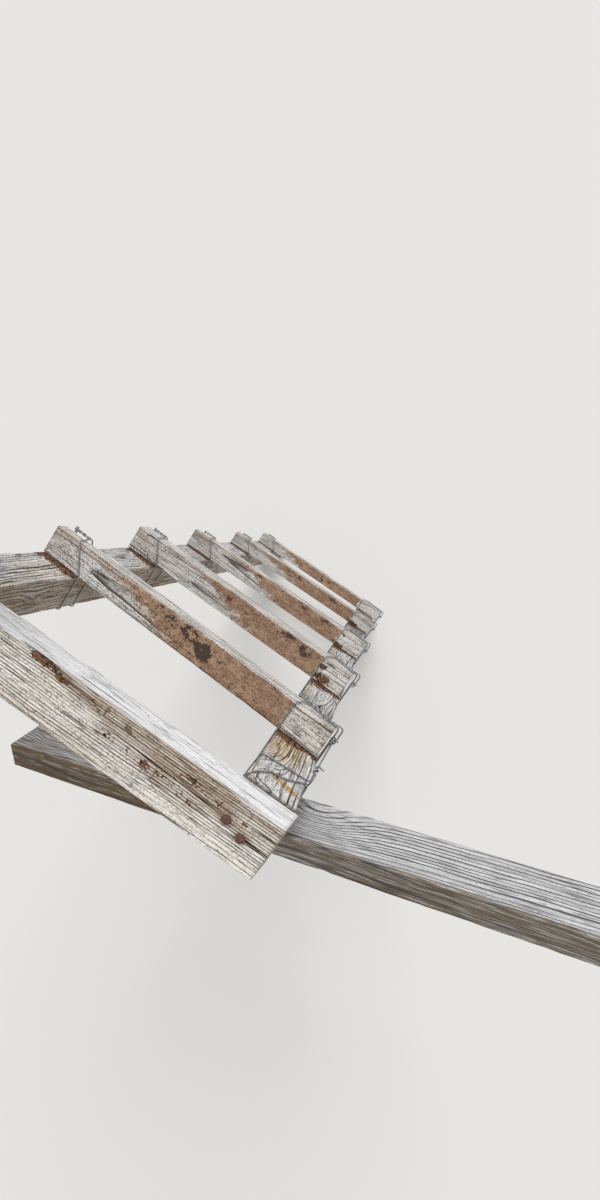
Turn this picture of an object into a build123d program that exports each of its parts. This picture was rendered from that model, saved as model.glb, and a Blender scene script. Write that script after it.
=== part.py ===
from build123d import *
from math import cos, pi, radians, sin, tan
import os

# Wooden stile: a steep ladder of sawn timber, wired together and lashed to a long bearer.
# Ground level is z = 0 and the origin is the sole of the right foot. The ladder has its own
# frame: x to the right from its middle, y down the slope from the sawn heads, and z outward
# from the faces that carry the treads. Lengths are in millimetres, angles in degrees.

# Ladder
slope = 60.0                    # from level
overall_width = 556.0           # outer side to outer side of the stringers
left_stringer_width = 77.0
right_stringer_width = 73.0
stringer_depth = 62.0
stringer_length = 2100.0        # along the faces that carry the treads
arris = 2.5                     # worn edges of every timber
seat = 0.2                      # space between timbers that bed on each other

# Treads: name, station down the slope, height off the stringers, width along the slope,
# skew, and how far the left and the right end run out past the stringers
tread_table = [
    ("second_tread", 185.0, 50.5, 39.5, -5.5, 1.0, -4.0),
    ("third_tread", 546.0, 52.5, 52.0, -2.6, -0.5, -8.0),
    ("fourth_tread", 971.0, 47.0, 45.5, 1.6, 0.5, -1.0),
    ("fifth_tread", 1420.0, 41.0, 49.5, 2.5, -2.0, 0.0),
    ("lowest_tread", 1825.0, 38.0, 50.0, 0.6, -4.0, 13.0),
]

# Wane, where the bark edge of the log runs out along the lower outer edge of a tread:
# name, length from the left end, bite out of the height, bite out of the width
wane_table = [
    ("second_tread", 120.0, 16.0, 34.0),
    ("fourth_tread", 70.0, 9.0, 12.0),
]

# Top tread, nailed across the heads of the stringers
top_tread_width = 77.0          # across the heads
top_tread_thickness = 53.0      # above the heads
top_tread_drop = 3.5            # its outward face lies below the faces of the stringers
top_tread_left, top_tread_right = -1.0, -2.0    # ends past the stringers
top_tread_cut = 8.0             # right end sawn out of square

# Nails through the top tread into the end grain of the stringers
nail_head_diameter = 13.0
nail_head_height = 2.5
nail_shank_diameter = 5.0
nail_length = 105.0
nail_clearance = 0.2
nail_inner, nail_inner_depth = 65.5, 35.0       # in from the outer sides and from the faces
nail_outer, nail_outer_depth = 40.0, 44.0

# Bearer, a long timber that crosses behind the right stringer and is housed over its edge
bearer_width = 80.5
bearer_thickness = 42.0
bearer_station = 79.6           # its near edge crosses the middle of the stringer here
bearer_drop = 31.4              # and this far behind it
bearer_turn = 16.1              # in plan
bearer_rise = 27.1              # up to the right
bearer_roll = -43.0             # about its own length
bearer_left, bearer_right = 450.0, 560.0        # either way from that crossing

# Wire
wire_diameter = 2.6
wire_clearance = 0.3            # off the timber and off other wires
twist_clearance = 0.4           # between twisted strands
bend = 2.4                      # cut off each side of a corner
tail = 7.0                      # cut end beyond the last bend

# Lashings of the treads: the strands meet on the outward face of the tread and run twisted to
# the eye, which hangs over the end of the tread at the right and its lower side at the left
left_twist_inset, right_twist_inset = 30.0, 18.0    # meeting point, from the inner leg
twist_edge = 6.0                # meeting point, from the lower edge of the tread
twist_end = 3.0                 # short of the edge that the eye hangs over
left_twist_turns, right_twist_turns = 1.75, 2.75
eye_drop = 26.0                 # bottom of the right eye below the outward strands
eye_inset = 14.0                # left eye, from the end of the tread

# Lashing of the bearer: where it crosses the face of the right stringer, as a share of the
# stringer's width from its inner side, and y from the heads
tight_pass = [(0.0, 80.3), (1.0, 92.0)]
slack_pass = [(1.0, 84.0), (0.78, 66.0), (0.56, 51.0), (0.32, 46.0), (0.12, 24.0), (0.0, 7.0)]
winding_start = 22.0            # other end wound on the taut one, from the stringer's edge
winding_turns, winding_pitch = 2, 9.0

half = overall_width / 2
right_middle = half - right_stringer_width / 2
origin_y = stringer_depth / (2 * sin(radians(slope))) - stringer_length * cos(radians(slope))
origin_z = stringer_length * sin(radians(slope))
ladder = Plane(
    origin=(-right_middle, origin_y, origin_z),
    x_dir=(1, 0, 0),
    z_dir=(0, sin(radians(slope)), cos(radians(slope))),
).location

parts = {}


def sawn(length, width, height):
    """A sawn timber along x, with worn edges, from the corner at 0, 0, 0."""
    bar = Pos(length / 2, width / 2, height / 2) * Box(length, width, height)
    return fillet(bar.edges().filter_by(Axis.X), arris)


# Stringers: square at the head, level at the foot
below = Pos(0, 0, -stringer_length / 2) * Box(
    2 * stringer_length, 2 * stringer_length, stringer_length
)
for name, side, breadth in (
    ("left_stringer", -1, left_stringer_width),
    ("right_stringer", 1, right_stringer_width),
):
    middle = side * (overall_width - breadth) / 2
    bar = Pos(middle, stringer_length, -stringer_depth / 2) * Box(
        breadth, 2 * stringer_length, stringer_depth
    )
    parts[name] = ladder * fillet(bar.edges().filter_by(Axis.Y), arris) - below

# Treads laid across the stringers
wanes = {name: sizes for name, *sizes in wane_table}
for name, station, height, width, skew, left, right in tread_table:
    span = left + overall_width + right
    bar = sawn(span, width, height)
    if name in wanes:
        length, bite_height, bite_width = wanes[name]
        bites = [
            Plane((x, 0, 0), x_dir=(0, 1, 0), z_dir=(1, 0, 0)) * Polygon(
                (width - share * bite_width, height),
                (width, height),
                (width, height - share * bite_height),
                align=None,
            )
            for x, share in ((0, 1.0), (length, 0.02))
        ]
        bar -= loft(bites)
    parts[name] = ladder * Pos(half + right, station, seat) * Rot(0, 0, skew) * Pos(-span, 0, 0) * bar

# Top tread
above = -top_tread_thickness - seat
bar = Pos(-half - top_tread_left, above, -top_tread_drop - top_tread_width) * sawn(
    2 * overall_width, top_tread_thickness, top_tread_width
)
trim = Pos(half + top_tread_right, above, 0) * Rot(0, 0, -top_tread_cut) * Box(
    2 * overall_width,
    6 * top_tread_thickness,
    6 * top_tread_width,
    align=(Align.MIN, Align.CENTER, Align.CENTER),
)
top_tread = bar - trim

# Nails
up = (Align.CENTER, Align.CENTER, Align.MIN)
down = (Align.CENTER, Align.CENTER, Align.MAX)
nail = Cylinder(nail_head_diameter / 2, nail_head_height, align=down) + Cylinder(
    nail_shank_diameter / 2, nail_length, align=up
)
bore = Pos(0, 0, -1) * Cylinder(
    nail_shank_diameter / 2 + nail_clearance, nail_length + 2, align=up
)
for hand, side in (("left", -1), ("right", 1)):
    for place, inset, depth in (
        ("inner", nail_inner, nail_inner_depth),
        ("outer", nail_outer, nail_outer_depth),
    ):
        driven = Pos(side * (half - inset), above, -depth) * Rot(-90, 0, 0)
        parts[f"{place}_nail_{hand}"] = ladder * driven * nail
        parts[f"{hand}_stringer"] -= ladder * driven * bore
        top_tread -= driven * bore
parts["top_tread"] = ladder * top_tread

# Bearer, housed for the back of the right stringer
bearer = (
    Pos(*(ladder * Pos(right_middle, bearer_station, -stringer_depth - bearer_drop)).position)
    * Rot(0, 0, bearer_turn)
    * Rot(0, -bearer_rise, 0)
    * Rot(bearer_roll, 0, 0)
)
bar = Pos(-bearer_left, 0, -bearer_thickness) * sawn(
    bearer_left + bearer_right, bearer_width, bearer_thickness
)
housing = Pos(right_middle, bearer_station, -stringer_depth / 2) * Box(
    right_stringer_width + 2 * seat, 5 * bearer_width, stringer_depth + 2 * seat
)
parts["bearer"] = bearer * bar - ladder * housing


def soften(points):
    """Cut each corner of a wire short, as a bent wire does."""
    corners = [Vector(*point) for point in points]
    path = [corners[0]]
    for before, corner, after in zip(corners, corners[1:], corners[2:]):
        path.append(corner + (before - corner).normalized() * bend)
        path.append(corner + (after - corner).normalized() * bend)
    return path + [corners[-1]]


def strand(start, finish, across, radius, turns, phase):
    """A wire wound about the line from start to finish."""
    along = (finish - start).normalized()
    across = Vector(*across)
    across = (across - along * across.dot(along)).normalized()
    steps = round(abs(turns) * 7)
    path = []
    for step in range(steps + 1):
        angle = phase + 2 * pi * turns * step / steps
        outward = across * cos(angle) + along.cross(across) * sin(angle)
        path.append(start + (finish - start) * (step / steps) + outward * radius)
    return path


def half_turn(centre, first, second, radius):
    """A bend through 180 degrees, from the first way round to the far side by the second."""
    first, second = Vector(*first) * radius, Vector(*second) * radius
    return [centre + first * cos(turn) + second * sin(turn) for turn in (0, pi / 4, pi / 2, 3 * pi / 4, pi)]


def wire(path):
    """Wire of six sides along a path in the frame of the ladder."""
    line = Polyline(*path)
    section = Plane(origin=line @ 0, z_dir=line % 0) * RegularPolygon(wire_diameter / 2, 6)
    return ladder * sweep(section, path=line, transition=Transition.RIGHT)


# Lashings: over the tread by the inner side of the stringer and behind the stringer. The wire
# is doubled and twisted along the outer face of the tread to an eye, which lies over the right
# end and down the lower side at the left. The ends come up the outer side of the stringer,
# pass through the eye and are cut off.
off = wire_diameter / 2 + wire_clearance
lap = wire_diameter + wire_clearance
eye_radius = wire_diameter + 2 * wire_clearance
twist_radius = (wire_diameter + twist_clearance) / 2
behind = -stringer_depth - off
for name, station, height, width, skew, left, right in tread_table:
    for hand, side, overhang, breadth, inset, turns in (
        ("left", -1, left, left_stringer_width, left_twist_inset, left_twist_turns),
        ("right", 1, right, right_stringer_width, right_twist_inset, right_twist_turns),
    ):
        grade = tan(radians(skew))
        inner = side * (half - breadth - off)
        outer = side * (half + off)
        flush = side * (half + max(overhang + width * abs(grade) + bend / 2, 0) + off)
        aside = flush + side * eye_radius
        bight = side * (half + overhang - eye_inset)
        over = seat + height + off
        upper_edge, lower_edge, centre = (
            lambda x, share=share: station + (x - half - right) * grade + share * width / cos(radians(skew))
            for share in (0, 1, 0.5)
        )
        meeting = inner + side * inset
        start = Vector(meeting, lower_edge(meeting) - twist_edge, over + twist_radius)
        if hand == "right":
            eye = Vector(aside, centre(aside), over - eye_drop + eye_radius)
            finish = Vector(half + overhang - twist_end, eye.Y, start.Z)
            outward = Vector(1, 0, 0)
        else:
            eye = Vector(bight, max(lower_edge(bight), lower_edge(-half)) + off + eye_radius, off + eye_radius)
            finish = Vector(bight, lower_edge(bight) - twist_end, start.Z)
            outward = Vector(0, 1, 0)
        strands = [
            strand(start, finish, (0, 0, 1), twist_radius, side * turns, side * phase)
            for phase in (pi / 2, -pi / 2)
        ]
        legs = []
        for way, edge, laps in ((-1, upper_edge, 1), (1, lower_edge, 2)):
            bed = way * (off + abs(grade) * off)
            beside = edge(inner) + bed
            level = eye.Z + laps * lap
            if hand == "right":
                ends = [
                    Vector(aside + tail, eye.Y - way * (eye_radius + wire_clearance), level),
                    Vector(aside, eye.Y - way * eye_radius, level),
                    Vector(aside, eye.Y + way * eye_radius, level),
                    Vector(flush, eye.Y + way * 3 * eye_radius, level),
                    Vector(flush, eye.Y + way * 3 * eye_radius, -lap),
                ]
                climb = []
            else:
                clear = outer - (laps - 1) * lap
                ends = [
                    Vector(bight + 2 * eye_radius, eye.Y + tail, level),
                    Vector(bight + 2 * eye_radius, eye.Y, level),
                    Vector(clear, eye.Y, level),
                    Vector(clear, eye.Y, -lap),
                ]
                climb = [Vector(inner, beside, off)]
            legs.append([
                *ends,
                Vector(outer, beside, behind),
                Vector(inner, beside, behind),
                *climb,
                Vector(meeting if climb else inner, edge(meeting if climb else inner) + bed, over),
            ])
        hang = half_turn(eye, outward, (0, 0, -1), eye_radius)
        over_edge = [
            soften([strands[0][-1], Vector(hang[0].X, hang[0].Y, strands[0][-1].Z), hang[0]]),
            soften([hang[-1], Vector(hang[-1].X, hang[-1].Y, strands[1][-1].Z), strands[1][-1]]),
        ]
        parts[f"{name.split('_')[0]}_{hand}_lashing"] = wire(
            soften([*legs[0], strands[0][0]])
            + strands[0][1:]
            + over_edge[0][1:]
            + hang[1:]
            + over_edge[1][1:]
            + strands[1][-2:0:-1]
            + soften([strands[1][0], *legs[1][::-1]])
        )
        if name == "second_tread" and hand == "right":
            stay_eye = eye

# Lashing of the bearer: twice round the bearer and the right stringer, crossed beneath. One
# end runs taut to the eye at the second tread and hooks into it, the other is wound on it.
bearer_on_ladder = ladder.inverse() * bearer
corner = bearer_on_ladder.position
length_way, width_way, face_way = (
    (bearer_on_ladder * Pos(*way)).position - corner for way in ((1, 0, 0), (0, 1, 0), (0, 0, 1))
)
inner = half - right_stringer_width - off
outer = half + off


def round_bearer(x, far, under, lap=0.0):
    """The point of a wire at one long edge of the bearer, where the ladder's x is as given."""
    point = corner + width_way * (bearer_width + off if far else -off)
    point += face_way * (-bearer_thickness - off - lap if under else off)
    return point + length_way * ((x - point.X) / length_way.X)


def on_face(place):
    """The point of a wire on the face of the right stringer."""
    share, station = place
    return Vector(inner + (outer - inner) * share, station, off)


stay_start = on_face(tight_pass[1])
stay_end = stay_eye - Vector(0, eye_radius, 0)
stay_way = (stay_end - stay_start).normalized()
hook = half_turn(stay_eye - Vector(0, 0, eye_radius), (0, 0, 1), (0, 1, 0), eye_radius)
hook.append(hook[-1] - Vector(0, tail, 0))
spare = 2.0
loop = [
    stay_end,
    stay_start,
    on_face(tight_pass[0]),
    round_bearer(inner - spare, True, False),
    round_bearer(inner - spare, True, True),
    round_bearer(outer + spare, False, True),
    round_bearer(outer + spare, False, False),
    *(on_face(place) for place in slack_pass),
    round_bearer(inner - spare, False, False),
    round_bearer(inner - spare, False, True, lap),
    round_bearer(outer + spare, True, True, lap),
    round_bearer(outer + spare, True, False),
    Vector(outer + lap, stay_start.Y + winding_start / 2, -lap),
]
winding = strand(
    stay_start + stay_way * winding_start,
    stay_start + stay_way * (winding_start + winding_turns * winding_pitch),
    (1, 0, 0),
    lap,
    winding_turns,
    0,
)
winding.append(winding[-1] + Vector(tail, 0, 0))
parts["bearer_lashing"] = wire(hook[::-1] + soften([*loop, winding[0]]) + winding[1:])

os.makedirs("parts", exist_ok=True)
for name, shape in parts.items():
    export_step(shape, f"parts/{name}.step")
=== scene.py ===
from math import cos, exp, hypot, pi, radians, sin, tan

import bpy
from mathutils import Matrix, Vector, noise


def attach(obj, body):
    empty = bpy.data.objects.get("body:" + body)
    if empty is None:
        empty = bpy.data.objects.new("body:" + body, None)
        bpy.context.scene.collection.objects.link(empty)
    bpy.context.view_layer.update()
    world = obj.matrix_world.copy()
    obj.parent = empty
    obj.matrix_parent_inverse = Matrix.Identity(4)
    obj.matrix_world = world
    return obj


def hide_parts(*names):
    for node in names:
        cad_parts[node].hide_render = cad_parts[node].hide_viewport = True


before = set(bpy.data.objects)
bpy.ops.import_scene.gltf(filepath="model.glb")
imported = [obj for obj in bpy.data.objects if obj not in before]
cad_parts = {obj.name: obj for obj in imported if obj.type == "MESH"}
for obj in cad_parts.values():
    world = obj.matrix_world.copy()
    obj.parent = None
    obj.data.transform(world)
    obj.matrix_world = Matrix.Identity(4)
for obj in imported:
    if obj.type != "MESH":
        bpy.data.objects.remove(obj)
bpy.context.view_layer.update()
MM = 0.001

# The ladder has its own frame, in millimetres: x to the right from its middle, y down the
# slope from the sawn heads, z outward from the faces that carry the treads.
SLOPE = radians(60)
WIDTH, DEPTH, LENGTH = 556.0, 62.0, 2100.0
LEFT_BREADTH, RIGHT_BREADTH = 77.0, 73.0
SEAT = 0.2
HALF = WIDTH / 2
LADDER = Matrix((
    (1, 0, 0, RIGHT_BREADTH / 2 - HALF),
    (0, cos(SLOPE), sin(SLOPE), DEPTH / (2 * sin(SLOPE)) - LENGTH * cos(SLOPE)),
    (0, -sin(SLOPE), cos(SLOPE), LENGTH * sin(SLOPE)),
    (0, 0, 0, 1),
))

# Treads: name, place down the slope, height, width, skew in degrees, and how far the left and
# the right end run out past the stringers
TREADS = [
    ("second_tread", 185.0, 50.5, 39.5, -5.5, 1.0, -4.0),
    ("third_tread", 546.0, 52.5, 52.0, -2.6, -0.5, -8.0),
    ("fourth_tread", 971.0, 47.0, 45.5, 1.6, 0.5, -1.0),
    ("fifth_tread", 1420.0, 41.0, 49.5, 2.5, -2.0, 0.0),
    ("lowest_tread", 1825.0, 38.0, 50.0, 0.6, -4.0, 13.0),
]


def across_tread(tread, x, share):
    """How far down the slope a tread lies at x: its upper edge for share 0, its lower for 1."""
    _, station, _, width, skew, _, right = tread
    return station + (x - HALF - right) * tan(radians(skew)) + share * width / cos(radians(skew))


# Camera, above the heads and looking down the slope, as fitted to the edges of the timbers
lens = bpy.data.cameras.new("camera")
lens.sensor_fit = "HORIZONTAL"
lens.sensor_width = 36.0
lens.lens = 39.28
lens.clip_start = 0.01
camera = bpy.data.objects.new("camera", lens)
bpy.context.collection.objects.link(camera)
view_right = Vector((0.82189553, 0.5533871, 0.13509427))
view_down = Vector((0.56450938, -0.75950578, -0.32323386))
view_ahead = Vector((-0.07626857, 0.34192644, -0.93662661))
camera_turn = Matrix((view_right, -view_down, -view_ahead)).transposed().to_4x4()
camera.matrix_world = Matrix.Translation((-0.0444, -1.09025, 2.65036)) @ camera_turn
bpy.context.scene.camera = camera


def linear(code):
    """The linear colour of an sRGB hex value."""
    values = [int(code[i:i + 2], 16) / 255 for i in (0, 2, 4)]
    return [v / 12.92 if v <= 0.04045 else ((v + 0.055) / 1.055) ** 2.4 for v in values] + [1.0]


def add(tree, kind, inputs=(), **settings):
    """Adds a node: its settings, and for each input a link, a colour in hex or a value."""
    node = tree.nodes.new(kind)
    for key, value in settings.items():
        setattr(node, key, value)
    for key, value in dict(inputs).items():
        if isinstance(value, bpy.types.NodeSocket):
            tree.links.new(value, node.inputs[key])
        else:
            node.inputs[key].default_value = linear(value) if isinstance(value, str) else value
    return node


def empty_material(name):
    """A new material whose node tree is empty."""
    material = bpy.data.materials.new(name)
    material.use_nodes = True
    material.node_tree.nodes.clear()
    return material


def grain_noise(tree, place, along, across, detail=3.0, distortion=0.0):
    """Noise in cells of so many millimetres along the grain and across it."""
    per_metre = (1000 / along, 1000 / across, 1000 / across)
    drawn = add(tree, "ShaderNodeMapping", {"Vector": place, "Scale": per_metre})
    return add(tree, "ShaderNodeTexNoise", {
        "Vector": drawn.outputs[0], "Scale": 1.0, "Detail": detail, "Roughness": 0.6,
        "Distortion": distortion,
    }).outputs["Fac"]


def weathered_pine(name, pale, dark, bleached, shaded, streak, stain, soil, figure, wear, washed):
    """Sawn pine, weathered: years outside have bleached its upper faces and washed the soft wood
    out between the hard rings, which stand as fine darker lines. It is matt, fibrous and
    checked along the grain, and soil is trodden into it. Figure is how strongly its rings show,
    wear how pitted and checked it is, and washed how far rings and pits fade under open sky."""
    material = empty_material(name)
    tree = material.node_tree
    place = add(tree, "ShaderNodeAttribute", attribute_name="place").outputs["Vector"]
    rings = add(tree, "ShaderNodeAttribute", attribute_name="rings").outputs["Fac"]
    marks = []
    for label in ("dirt", "marks", "tone"):
        read = add(tree, "ShaderNodeAttribute", attribute_name=label).outputs["Vector"]
        marks += add(tree, "ShaderNodeSeparateXYZ", {0: read}).outputs
    muddy, dark_mud, crumbs, sawn_end, split, rust, open_sky, stained, fouled = marks

    # sizes in mm along and across the grain; fibres, checks and pores are drawn coarser than
    # they are, so that they show
    fibre = grain_noise(tree, place, 45, 2.2, 2.0, 0.1)
    check = grain_noise(tree, place, 60, 2.6, 1.0, 0.1)
    check = add(
        tree, "ShaderNodeMath", {0: open_sky, 1: 0.05 * wear, 2: check}, operation="MULTIPLY_ADD"
    ).outputs[0]
    coarse = grain_noise(tree, place, 90, 8, 3.0, 0.2)
    broad = grain_noise(tree, place, 150, 40, 2.0)
    speck = grain_noise(tree, place, 3.4, 2.0, 1.0)
    clump = grain_noise(tree, place, 16, 11)
    lump = grain_noise(tree, place, 4.5, 4.0, 3.0)
    uneven = grain_noise(tree, place, 240, 13, 2.0)
    wander = grain_noise(tree, place, 150, 22, 2.0)

    # a ring is pale for most of its width, darkens and ends in a hard edge, some more than others
    count = add(
        tree, "ShaderNodeMath", {0: wander, 1: 0.7, 2: rings}, operation="MULTIPLY_ADD"
    ).outputs[0]
    phase = add(tree, "ShaderNodeMath", {0: count}, operation="FRACT").outputs[0]
    number = add(tree, "ShaderNodeMath", {0: count}, operation="FLOOR").outputs[0]
    own = add(tree, "ShaderNodeTexWhiteNoise", {"W": number}, noise_dimensions="1D").outputs["Value"]
    ramps = {}
    for key, source, low, high, first, last in (
        ("darkens", phase, 0.58, 0.86, 0, 1),
        ("ends", phase, 0.95, 1.0, 1, 0),
        ("strong", uneven, 0.35, 0.6, 0.45, 1),
        ("own", own, 0.0, 1.0, 0.45, 1),
        ("shade", coarse, 0.35, 0.66, 0, 1),
        ("fouled", coarse, 0.25, 0.7, 0.6, 1),
        ("split", split, 0.08, 0.4, 0, 1),
        ("sheltered", open_sky, 0, 1, 1, 1 - washed),
        ("tint", broad, 0.4, 0.75, 0, 0.26),
        ("dark fibre", fibre, 0.53, 0.67, 0, 0.62),
        ("pale fibre", fibre, 0.44, 0.3, 0, 0.6),
        ("check", check, 0.69 - 0.05 * wear, 0.75 - 0.05 * wear, 0, 0.85),
        ("checked", uneven, 0.4, 0.56, 0.25, 1),
        ("speck", speck, 0.53, 0.63, 0, min(0.8 * wear, 0.95)),
        ("specked", clump, 0.35, 0.6, 0.35, 1),
        ("earth", clump, 0.38, 0.62, 0, 1),
        ("clod", lump, 0.54, 0.62, 0, 0.8),
        ("clodded", broad, 0.45, 0.6, 0.1, 1),
        ("grit", speck, 0.57, 0.64, 0, 0.6),
        ("scoured", speck, 0.42, 0.34, 0, 0.3),
        ("bled", fibre, 0.3, 0.6, 0.35, 1),
        ("soaked", fibre, 0.3, 0.62, 0.5, 1),
    ):
        ramps[key] = add(
            tree, "ShaderNodeMapRange", {0: source, 1: low, 2: high, 3: first, 4: last},
            interpolation_type="SMOOTHSTEP",
        ).outputs[0]
    shares = {}
    for key, one, two in (
        ("late wood", ramps["darkens"], ramps["ends"]),
        ("ring", "late wood", ramps["strong"]),
        ("own ring", "ring", ramps["own"]),
        ("figure", "own ring", figure),
        ("line", "figure", ramps["sheltered"]),
        ("checks", ramps["check"], ramps["checked"]),
        ("spotted", ramps["speck"], ramps["specked"]),
        ("specks", "spotted", ramps["sheltered"]),
        ("clods", ramps["clod"], ramps["clodded"]),
        ("rough end", sawn_end, 0.7),
        ("bleeding", rust, ramps["bled"]),
        ("soaking", stained, ramps["soaked"]),
        ("foulness", fouled, ramps["fouled"]),
    ):
        both = {0: shares.get(one, one), 1: two}
        shares[key] = add(tree, "ShaderNodeMath", both, operation="MULTIPLY").outputs[0]

    # soil lies where its mark says, ragged towards the edge
    ragged = -2.1
    for source, much in ((clump, 1.8), (lump, 1.4), (speck, 0.7)):
        ragged = add(
            tree, "ShaderNodeMath", {0: source, 1: much, 2: ragged}, operation="MULTIPLY_ADD"
        ).outputs[0]
    covered = []
    for mark, torn, low, high, most in (
        (muddy, 0.6, 0.12, 0.6, 0.92),
        (dark_mud, 1.0, 0.42, 0.62, 0.92),
        (crumbs, 1.0, 0.42, 0.6, 1.0),
    ):
        reach = add(
            tree, "ShaderNodeMath", {0: ragged, 1: torn, 2: mark}, operation="MULTIPLY_ADD"
        ).outputs[0]
        covered.append(add(
            tree, "ShaderNodeMapRange", {0: reach, 1: low, 2: high, 3: 0, 4: most},
            interpolation_type="SMOOTHSTEP",
        ).outputs[0])

    # litter in flakes of about 4 mm by 2.5 mm, each of its own brown
    flakes = add(tree, "ShaderNodeMapping", {"Vector": place, "Scale": (240, 400, 400)}).outputs[0]
    flake = add(tree, "ShaderNodeTexVoronoi", {"Vector": flakes, "Scale": 1.0}).outputs["Color"]
    flake_shade = add(tree, "ShaderNodeSeparateXYZ", {0: flake}).outputs[0]

    # two shades of each thing: soil, litter, and the wood sheltered and under the open sky
    earth, litter, colour, weather = (
        add(tree, "ShaderNodeMix", {0: share, 6: one, 7: other}, data_type="RGBA").outputs[2]
        for share, one, other in (
            (ramps["earth"], soil[0], soil[1]),
            (flake_shade, "2c2019", "8e684c"),
            (ramps["shade"], pale, dark),
            (ramps["shade"], bleached, shaded),
        )
    )
    for share, over in (
        (ramps["scoured"], "c2a88f"),
        (shares["clods"], soil[2]),
        (ramps["grit"], "33261f"),
    ):
        earth = add(tree, "ShaderNodeMix", {0: share, 6: earth, 7: over}, data_type="RGBA").outputs[2]

    # what lies on the wood or is in it, from the lowest layer to the uppermost; the last is painted
    # shade, near-black at the bottom of each split
    for share, over in (
        (ramps["tint"], stain),
        (open_sky, weather),
        (shares["soaking"], stain),
        (ramps["pale fibre"], "f0ece6"),
        (ramps["dark fibre"], streak),
        (shares["line"], streak),
        (shares["foulness"], "5d554d"),
        (shares["checks"], "2b2520"),
        (shares["specks"], "423831"),
        (covered[0], earth),
        (covered[1], soil[3]),
        (covered[2], litter),
        (shares["rough end"], "7a7066"),
        (shares["bleeding"], "6b3a22"),
        # the bottom of a split painted near-black: painted shade in the crack
        (ramps["split"], "0d0a08"),
    ):
        colour = add(
            tree, "ShaderNodeMix", {0: share, 6: colour, 7: over}, data_type="RGBA"
        ).outputs[2]

    height = fibre
    for source, much in (
        (shares["late wood"], 0.5),
        (coarse, 0.5),
        (shares["checks"], -0.9),
        (shares["specks"], -0.3),
        (covered[0], 0.4),
        (lump, 0.35),
        (covered[2], 0.8),
        (flake_shade, 0.15),
    ):
        height = add(
            tree, "ShaderNodeMath", {0: source, 1: much, 2: height}, operation="MULTIPLY_ADD"
        ).outputs[0]
    bump = add(tree, "ShaderNodeBump", {"Height": height, "Strength": 0.8, "Distance": 0.0008})
    rough = add(tree, "ShaderNodeMapRange", {0: fibre, 1: 0.2, 2: 0.8, 3: 0.78, 4: 0.95}).outputs[0]
    shader = add(tree, "ShaderNodeBsdfPrincipled", {
        "Base Color": colour, "Roughness": rough, "Normal": bump.outputs[0],
        "IOR": 1.45, "Specular IOR Level": 0.2,
    })
    add(tree, "ShaderNodeOutputMaterial", {0: shader.outputs[0]})
    return material


# Soil: dry, damp, its clods, and where it is dark
SOIL = ("ae8d6f", "936f55", "54382a", "483a35")
RED_SOIL = ("8d6a4b", "74492f", "4f2f20", "55402f")
STRINGER_PINE = weathered_pine(
    "weathered pine of the stringers",
    pale="cbc5bd", dark="9f9a94", bleached="eeedeb", shaded="cdccca", streak="332b24",
    stain="cda563", soil=SOIL, figure=1.5, wear=1.0, washed=0.0,
)
TREAD_PINE = weathered_pine(
    "weathered pine of the treads",
    pale="faf7f2", dark="e0dad1", bleached="f4f1ec", shaded="d8d2ca", streak="463c34",
    stain="ab9071", soil=SOIL, figure=0.95, wear=1.0, washed=0.1,
)
TOP_PINE = weathered_pine(
    "bleached pine of the top tread",
    pale="fffaf0", dark="f3e8d7", bleached="fefefe", shaded="f2f2f2", streak="33291f",
    stain="95744b", soil=RED_SOIL, figure=1.25, wear=0.7, washed=0.6,
)
# the bearer's stain brown is darkened to paint the shade on its narrow side as well as the stain
BEARER_PINE = weathered_pine(
    "weathered pine of the bearer",
    pale="dad9d7", dark="c2c0bd", bleached="e9e9ea", shaded="d6d7d9", streak="4e4e50",
    stain="7d6849", soil=SOIL, figure=2.0, wear=0.4, washed=0.0,
)


def metal(name, size, low, high, spots, spots_from, spots_to, roughness, metallic, relief):
    """A metal in two blotchy shades with spots of a third. Size is that of its blotches in
    millimetres, roughness a pair for the two shades, and relief in metres."""
    material = empty_material(name)
    tree = material.node_tree
    place = add(tree, "ShaderNodeTexCoord").outputs["Object"]
    blotch = add(
        tree, "ShaderNodeTexNoise", {"Vector": place, "Scale": 1000 / size, "Detail": 4.0}
    ).outputs["Fac"]
    spot = add(
        tree, "ShaderNodeTexNoise", {"Vector": place, "Scale": 350 / size, "Detail": 2.0}
    ).outputs["Fac"]
    spotted = add(tree, "ShaderNodeMapRange", {0: spot, 1: spots_from, 2: spots_to}).outputs[0]
    colour = add(tree, "ShaderNodeMix", {0: blotch, 6: low, 7: high}, data_type="RGBA").outputs[2]
    colour = add(tree, "ShaderNodeMix", {0: spotted, 6: colour, 7: spots}, data_type="RGBA").outputs[2]
    rough = add(
        tree, "ShaderNodeMapRange", {0: blotch, 1: 0.3, 2: 0.7, 3: roughness[0], 4: roughness[1]}
    ).outputs[0]
    bump = add(
        tree, "ShaderNodeBump", {"Height": blotch, "Strength": 0.6, "Distance": relief}
    ).outputs[0]
    shader = add(tree, "ShaderNodeBsdfPrincipled", {
        "Base Color": colour, "Roughness": rough, "Normal": bump, "Metallic": metallic,
    })
    add(tree, "ShaderNodeOutputMaterial", {0: shader.outputs[0]})
    return material


# Zinc on steel wire, dulled outdoors: a soft grey sheen, blotched, with a few brown spots
WIRE = metal(
    "galvanised steel wire", size=4.0, low="747576", high="b9babb", spots="6e4a35",
    spots_from=0.66, spots_to=0.74, roughness=(0.3, 0.5), metallic=0.9, relief=0.0002,
)
# Bare steel left in the rain: a matt crust in two dull browns, with paler spots
RUST = metal(
    "rusted steel nail", size=3.0, low="4c352d", high="7a594c", spots="93705f",
    spots_from=0.57, spots_to=0.7, roughness=(0.75, 0.9), metallic=0.1, relief=0.0004,
)


def wave(x, y, z, size):
    """Smooth noise from -1 to 1, with waves of about that size. A fixed y or z only picks out
    one part of it."""
    return noise.noise(Vector((x, y, z)) / size)


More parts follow.
